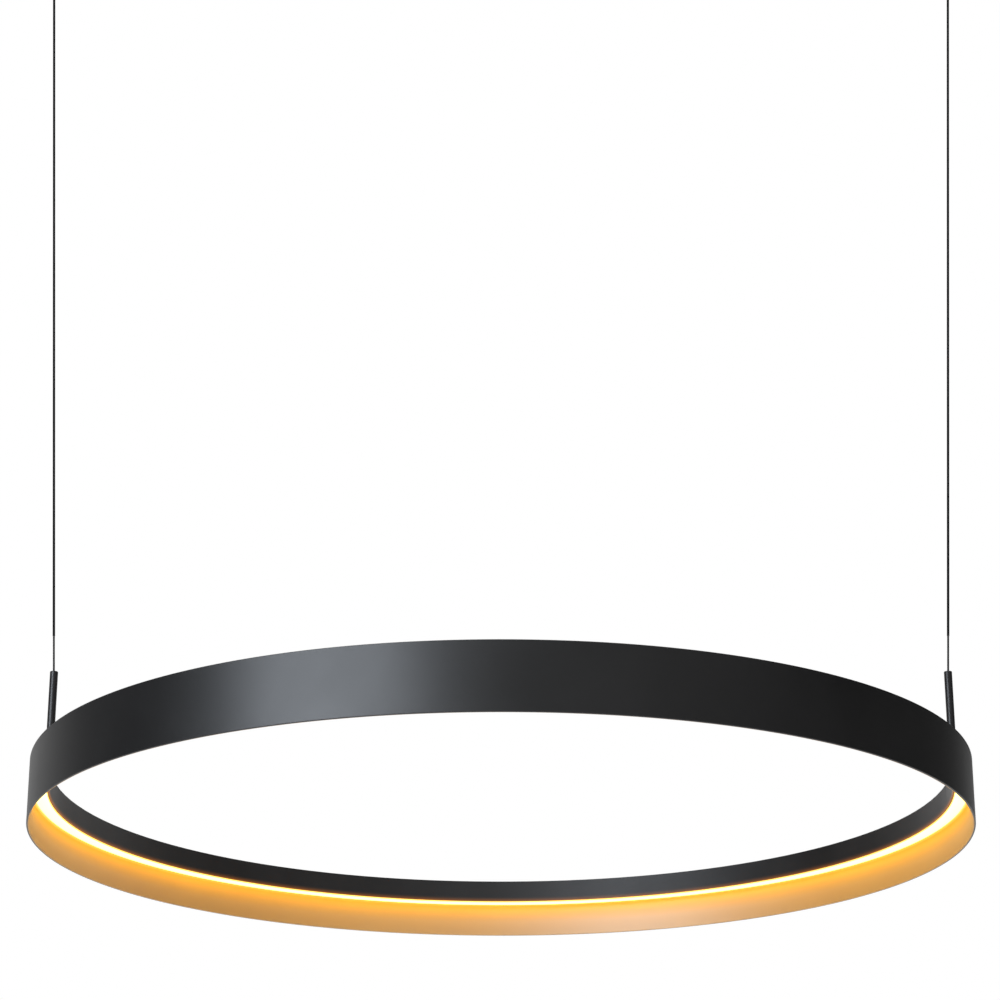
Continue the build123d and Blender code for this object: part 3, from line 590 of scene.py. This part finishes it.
wire = {
    "mouth": (0.4285, 0.0, -0.056),    # where the wire leaves its grip, at +X
    "ball": (0.3905, 0.0, -0.745),     # middle of the ball on its lower end
    "lead": 0.013,                     # the route's inner points stand this far from its ends
    "stub": 0.0033,                    # the wire ends this far above the ball's middle
    "bare": 0.037,                     # the sheath ends this far above the ball's middle
    "sheath": 0.0022,
    "core": 0.0018,
    "strands": 6,
    "lay": 0.014,                      # length in which a strand goes once round
    "lobe": 0.12,                      # how much the core sinks between strands
    "tip": 0.02,                       # radius of the half ball's top cap, as a share of the sheath's
    "ringPoints": 36,
    "order": 3,
    "resolution": 24,
    "topRings": 6,
    "sheathRings": 60,
    "coreRings": 60,
}


def wireRings(length):
    # Where the rings of a wire stand along its line, and their radius at every angle: a half ball of the
    # sheath's radius before the line's first point, then the even sheath, then the bare core. At arc length
    # s and angle a the core's radius is R (1 - lobe (1 - |cos(strands / 2 (a - 2 pi s / lay))|)), the
    # outline of twisted strands.
    sheath = wire["sheath"] / 2
    core = wire["core"] / 2
    sheathEnd = length - wire["bare"] + wire["stub"]
    rise = np.linspace(math.pi / 2, 0, wire["topRings"], endpoint=False)
    sheathReach = np.linspace(0, sheathEnd, wire["sheathRings"])
    coreReach = np.linspace(sheathEnd, length, wire["coreRings"])
    reach = np.concatenate([-sheath * np.sin(rise), sheathReach, coreReach])
    angle = np.linspace(0, 2 * math.pi, wire["ringPoints"], endpoint=False)
    turn = angle[None] - 2 * math.pi * coreReach[:, None] / wire["lay"]
    strands = 1 - wire["lobe"] * (1 - np.abs(np.cos(wire["strands"] / 2 * turn)))
    plain = np.ones_like(angle)
    radius = np.concatenate([
        np.outer(sheath * np.maximum(np.cos(rise), wire["tip"]), plain),
        np.outer(np.full_like(sheathReach, sheath), plain),
        core * strands,
    ])
    return reach, radius


def makeWire(side, sign):
    # A tube along the straight line from the grip's mouth to the ball in the rod's tip.
    mouth = np.array(wire["mouth"]) * (sign, 1, 1)
    ball = np.array(wire["ball"]) * (sign, 1, 1)
    foot = ball + (mouth - ball) * wire["stub"] / np.linalg.norm(mouth - ball)
    heading = (foot - mouth) / np.linalg.norm(foot - mouth)
    lead = heading * wire["lead"]
    line = routeLine(np.array([mouth, mouth + lead, foot - lead, foot]), wire["order"], wire["resolution"])
    travelled = np.append(0.0, np.cumsum(np.linalg.norm(np.diff(line, axis=0), axis=1)))
    length = travelled[-1]
    reach, radius = wireRings(length)
    path = np.column_stack([np.interp(reach, travelled, coordinate) for coordinate in line.T])
    path += heading * np.minimum(reach, 0)[:, None]  # the half ball stands before the line's first point
    across = np.tile((0.0, 1.0, 0.0), (len(path), 1))
    surface = tubeAlong(path, across, radius)
    node = "suspension_wire_" + side.lower()
    piece = putSurface("suspensionWire" + side, surface, "wires", [node], closedAlong=False)
    piece.data.materials.append(blackSheath)
    piece.data.materials.append(darkStrand)
    sheathFaces = (wire["topRings"] + wire["sheathRings"] - 1) * wire["ringPoints"]
    bare = np.arange(len(piece.data.polygons)) >= sheathFaces
    bare[-2] = False  # the cap on the top
    paintFaces(piece.data, bare)
    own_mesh(piece)


spring = {
    "wire": 0.0006,
    "diameter": 0.0048,
    "turns": 4,
    "stepsPerTurn": 40,
    "ringPoints": 14,
}


def makeSpring(side, sign):
    # A round wire along a helix: angle a puts its middle at (axisX + coil cos a, coil sin a, level), and the
    # level rises evenly with a.
    node = "grip_spring_" + side.lower()
    low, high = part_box(node)
    axisX = sign * wire["mouth"][0]
    coil = (spring["diameter"] - spring["wire"]) / 2
    wireRadius = spring["wire"] / 2
    angle = np.linspace(0, 2 * math.pi * spring["turns"], spring["turns"] * spring["stepsPerTurn"] + 1)
    outward = np.column_stack([np.cos(angle), np.sin(angle), np.zeros_like(angle)])
    level = np.linspace(low.z + wireRadius, high.z - wireRadius, len(angle))
    path = outward * coil + np.column_stack([np.full_like(angle, axisX), np.zeros_like(angle), level])
    surface = tubeAlong(path, outward, np.full((len(angle), spring["ringPoints"]), wireRadius))
    piece = putSurface("gripSpring" + side, surface, "ceiling_bar", [node], closedAlong=False)
    piece.data.materials.append(zincSteel)
    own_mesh(piece)


for side, sign in sides.items():
    makeRod(side)
    makeWire(side, sign)
    makeSpring(side, sign)
print("rods, wires and springs made")


# Finishes of the frame's own pieces

def bothSides(*names):
    return [name + "_" + side.lower() for name in names for side in sides]


nodeFinishes = [
    (satinBlack, ["canopy_cover"]),
    (innerBlack, ["light_channel", "top_cover"]),
    (anodisedBlack, ["cover_screws", "canopy_screws"] + bothSides("grip_body", "grip_plunger", "end_cap")),
    (whiteMask, ["led_strip"]),
    (phosphorGel, ["led_chips"]),
    (zincSteel, ["cover_standoffs", "band_studs", "band_nuts", "block_screws", "rod_grub_screws",
                 "driver_screws", "terminal_screws", "earth_screw"] + bothSides("grip_nut", "grip_balls")),
    (rolledSteel, ["ceiling_bracket"]),
    (mouldedBlack, ["terminal_block", "lead_clips"] + bothSides("suspension_block")),
    (blackSheath, bothSides("wire_tail", "feed_lead")),
    (turnedBrass, bothSides("wire_ball", "grip_neck")),
    (softRubber, ["lead_grommets", "mains_grommet"]),
    (mouldedWhite, ["driver_case", "driver_lid"]),
]
for finish, names in nodeFinishes:
    for name in names:
        nodes[name].data.materials.clear()
        nodes[name].data.materials.append(finish)

gilding = {
    "height": 0.001,      # the gold reaches this far above the channel's foot
    "facing": -0.5,       # on faces whose normal points down by more than this
}


def gildChannelFoot():
    # The foot of the channel's outer wall is gold like the band next to it, and a painted glow lies over it.
    mesh = nodes["light_channel"].data
    mesh.materials.append(gildedFootPaintedGlow)
    centre = faceVectors(mesh, "center")
    outer = np.hypot(centre[:, 0], centre[:, 1]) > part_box("diffuser")[1].x
    down = faceVectors(mesh, "normal")[:, 2] < gilding["facing"]
    gold = outer & down & (centre[:, 2] < channelFoot + gilding["height"])
    paintFaces(mesh, gold)
    print("gilded faces of the channel:", int(gold.sum()))


gildChannelFoot()
print("finishes given to the frame's pieces")


# Stage, light and camera

stage = {
    "floorLevel": -1.65,
    "floorReach": 150.0,
    "floorShader": {"Roughness": 0.9, "Specular IOR Level": 0.1},
    "floorColour": (0.86, 0.86, 0.86),
    "floorDrift": 1.01,   # how much lighter its palest patches are
    "floorCloud": 0.7,    # patches per metre
    "floorDetail": 2.0,
    "floorGlow": 0.6,     # share of the backdrop's white in the floor near the lamp
    "floorFade": (4.0, 40.0),  # the floor turns into the backdrop between these distances
    "ambient": 0.23,
    "sweepLevel": 0.72,   # how bright the white sweep behind the lamp looks in reflections
    "sweepFrom": (-0.2, 0.98, 0.0),
    "sweepEdges": (0.48, 1.04),
    "roomLevel": 0.22,    # the same for the room in front, with darkness between the two
    "roomFrom": (0.1, -0.99, 0.0),
    "roomEdges": (0.35, 0.8),
    "darkLevel": 0.035,
}


def seenRays(tree):
    # 1 for what the camera sees directly, in a reflection or through glass, and 0 for light on other
    # surfaces.
    rays = addNode(tree, "LightPath").outputs
    indirect = combined(tree, "MAXIMUM", rays["Is Glossy Ray"], rays["Is Transmission Ray"])
    return combined(tree, "MAXIMUM", rays["Is Camera Ray"], indirect)


def makeFloor():
    # A square of four points at the floor's level. It shows soft shadows near the lamp and turns into the
    # white backdrop further away.
    corners = np.array([(-1, -1), (1, -1), (1, 1), (-1, 1)]) * stage["floorReach"]
    points = np.column_stack([corners, np.full(len(corners), stage["floorLevel"])])
    mesh = bpy.data.meshes.new("paleFloor")
    mesh.from_pydata(points.tolist(), [], [(0, 1, 2, 3)])
    floor = bpy.data.objects.new("paleFloor", mesh)
    bpy.context.scene.collection.objects.link(floor)
    material, tree, shader = startMaterial("paleFloor", stage["floorShader"])
    place = objectPlace(tree)
    cloud = addNoise(tree, stage["floorCloud"], stage["floorDetail"], place)
    pale = stage["floorColour"]
    paler = [part * stage["floorDrift"] for part in pale]
    tree.links.new(rampBetween(tree, cloud, pale, paler), shader.inputs["Base Color"])
    white = addNode(tree, "Emission").outputs["Emission"]
    share = mapRange(tree, vectorLength(tree, place), stage["floorFade"], (stage["floorGlow"], 1.0),
                     "SMOOTHSTEP")
    seen = combined(tree, "MULTIPLY", share, seenRays(tree))
    mix = addNode(tree, "MixShader", links={0: seen, 1: shader.outputs["BSDF"], 2: white})
    tree.links.new(mix.outputs["Shader"], tree.nodes["Material Output"].inputs["Surface"])
    mesh.materials.append(material)


def litFrom(tree, part):
    # How bright a part of the surroundings is: its level in its own direction, dark beyond its edges.
    direction = addNode(tree, "TexCoord").outputs["Generated"]
    facing = addNode(tree, "VectorMath", {"operation": "DOT_PRODUCT"}, {1: stage[part + "From"]},
                     {0: direction}).outputs["Value"]
    return mapRange(tree, facing, stage[part + "Edges"], (stage["darkLevel"], stage[part + "Level"]),
                    "SMOOTHSTEP")


def makeWorld():
    # White to the camera. Reflections show the white sweep behind the lamp and the dim room in front of it,
    # and what lights the object is an even ambient level.
    world = bpy.data.worlds.new("studio")
    bpy.context.scene.world = world
    world.use_nodes = True
    tree = world.node_tree
    around = combined(tree, "MAXIMUM", litFrom(tree, "sweep"), litFrom(tree, "room"))
    level = combined(tree, "MAXIMUM", around, addNode(tree, "LightPath").outputs["Is Camera Ray"])
    white = opaque((1.0, 1.0, 1.0))
    backdrop = addNode(tree, "Background", values={"Color": white}, links={"Strength": level})
    ambient = tree.nodes["Background"]
    ambient.inputs["Color"].default_value = white
    ambient.inputs["Strength"].default_value = stage["ambient"]
    mix = addNode(tree, "MixShader", links={
        0: seenRays(tree), 1: ambient.outputs["Background"], 2: backdrop.outputs["Background"],
    })
    tree.links.new(mix.outputs["Shader"], tree.nodes["World Output"].inputs["Surface"])


# at and aim are points of the frame, and size is a width and a height in metres
softboxes = {
    "softboxLeft": {
        "at": (-1.58, -2.05, -0.2),
        "aim": (0.0, 0.0, -0.86),
        "size": (1.7, 0.65),
        "watts": 31.0,
        "colour": (0.84, 0.91, 1.0),
    },
    "cardRight": {
        "at": (0.40, 0.74, -0.58),
        "aim": (-0.36, 0.13, -0.85),
        "size": (0.55, 0.3),
        "watts": 0.34,
    },
    "softboxTop": {
        "at": (0.2, 0.0, 1.9),
        "aim": (0.0, 0.0, -0.8),
        "size": (2.6, 2.2),
        "watts": 60.0,
    },
}


def makeSoftbox(name, box):
    lamp = bpy.data.lights.new(name, "AREA")
    lamp.shape = "RECTANGLE"
    lamp.size, lamp.size_y = box["size"]
    lamp.energy = box["watts"]
    lamp.color = box.get("colour", (1.0, 1.0, 1.0))
    holder = bpy.data.objects.new(name, lamp)
    bpy.context.scene.collection.objects.link(holder)
    holder.location = box["at"]
    holder.rotation_mode = "QUATERNION"
    holder.rotation_quaternion = (Vector(box["aim"]) - Vector(box["at"])).to_track_quat("-Z", "Y")
    holder.visible_camera = False


view = {
    "distance": 2.160,    # in front of the ring's axis
    "level": -1.408,
    "tilt": 18.75,        # degrees above level
    "sensor": 36.0,       # millimetres, like the lens
    "lens": 93.1,
    "shiftX": -0.001,
    "shiftY": 0.1,
}


def makeCamera():
    lens = bpy.data.cameras.new("photoCamera")
    lens.sensor_width = view["sensor"]
    lens.lens = view["lens"]
    lens.shift_x = view["shiftX"]
    lens.shift_y = view["shiftY"]
    camera = bpy.data.objects.new("photoCamera", lens)
    camera.location = (0.0, -view["distance"], view["level"])
    camera.rotation_euler = (math.radians(90 + view["tilt"]), 0.0, 0.0)
    bpy.context.scene.collection.objects.link(camera)
    bpy.context.scene.camera = camera


makeFloor()
makeWorld()
for name, box in softboxes.items():
    makeSoftbox(name, box)
makeCamera()
bpy.context.scene.view_settings.view_transform = "Standard"
print("stage, light and camera set")
